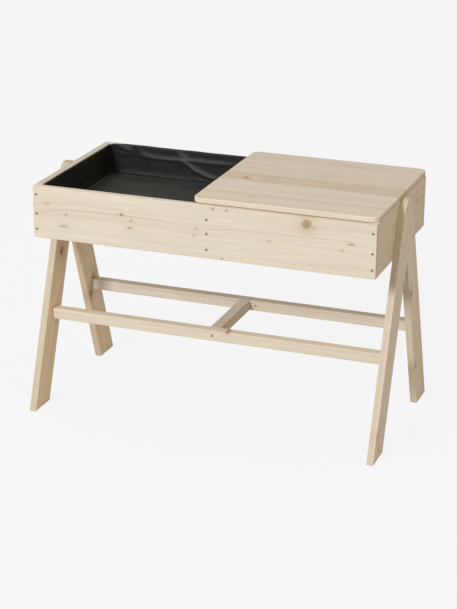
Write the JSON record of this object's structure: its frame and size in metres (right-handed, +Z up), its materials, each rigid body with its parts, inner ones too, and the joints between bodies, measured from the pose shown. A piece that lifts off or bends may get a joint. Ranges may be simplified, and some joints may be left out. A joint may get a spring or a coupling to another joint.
{
  "type": "sand and water table",
  "caption": "Children's wooden sand and water table: shallow two-compartment box with black liners on A-shaped leg frames, one compartment under a loose lid.",
  "frame": {"origin": "on the floor under the centre of the box", "axes": "+X along the box towards the lidded compartment, +Y towards the back, +Z up"},
  "size_m": [0.936, 0.504, 0.625],
  "materials": {
    "spruce": "planed, unvarnished",
    "spruce_lid": "planed, unvarnished",
    "plywood": "sanded",
    "liner": "satin, slightly wrinkled sheet",
    "zinc": "zinc plated"
  },
  "bodies": {
    "table": {"front_wall": "spruce", "back_wall": "spruce", "left_end_wall": "spruce", "right_end_wall": "spruce", "divider": "spruce", "left_floor_panel": "plywood", "right_floor_panel": "plywood", "left_front_cleat": "spruce", "left_back_cleat": "spruce", "right_front_cleat": "spruce", "right_back_cleat": "spruce", "left_liner": "liner", "right_liner": "liner", "left_front_leg": "spruce", "left_rear_leg": "spruce", "right_front_leg": "spruce", "right_rear_leg": "spruce", "front_rail": "spruce", "rear_rail": "spruce", "cross_rail": "spruce", "front_wall_screws": "zinc", "back_wall_screws": "zinc", "left_leg_screws": "zinc", "right_leg_screws": "zinc", "rail_end_screws": "zinc", "cross_rail_screws": "zinc", "cleat_screws": "zinc", "floor_screws": "zinc"},
    "lid": {"lid_panel": "spruce_lid", "lid_left_batten": "spruce", "lid_right_batten": "spruce", "lid_batten_screws": "zinc"}
  },
  "joints": [
    {"name": "lid_lift", "type": "slide", "parent": "table", "child": "lid", "axis": [0, 0, 1], "range_m": [0, 0.15]}
  ]
}
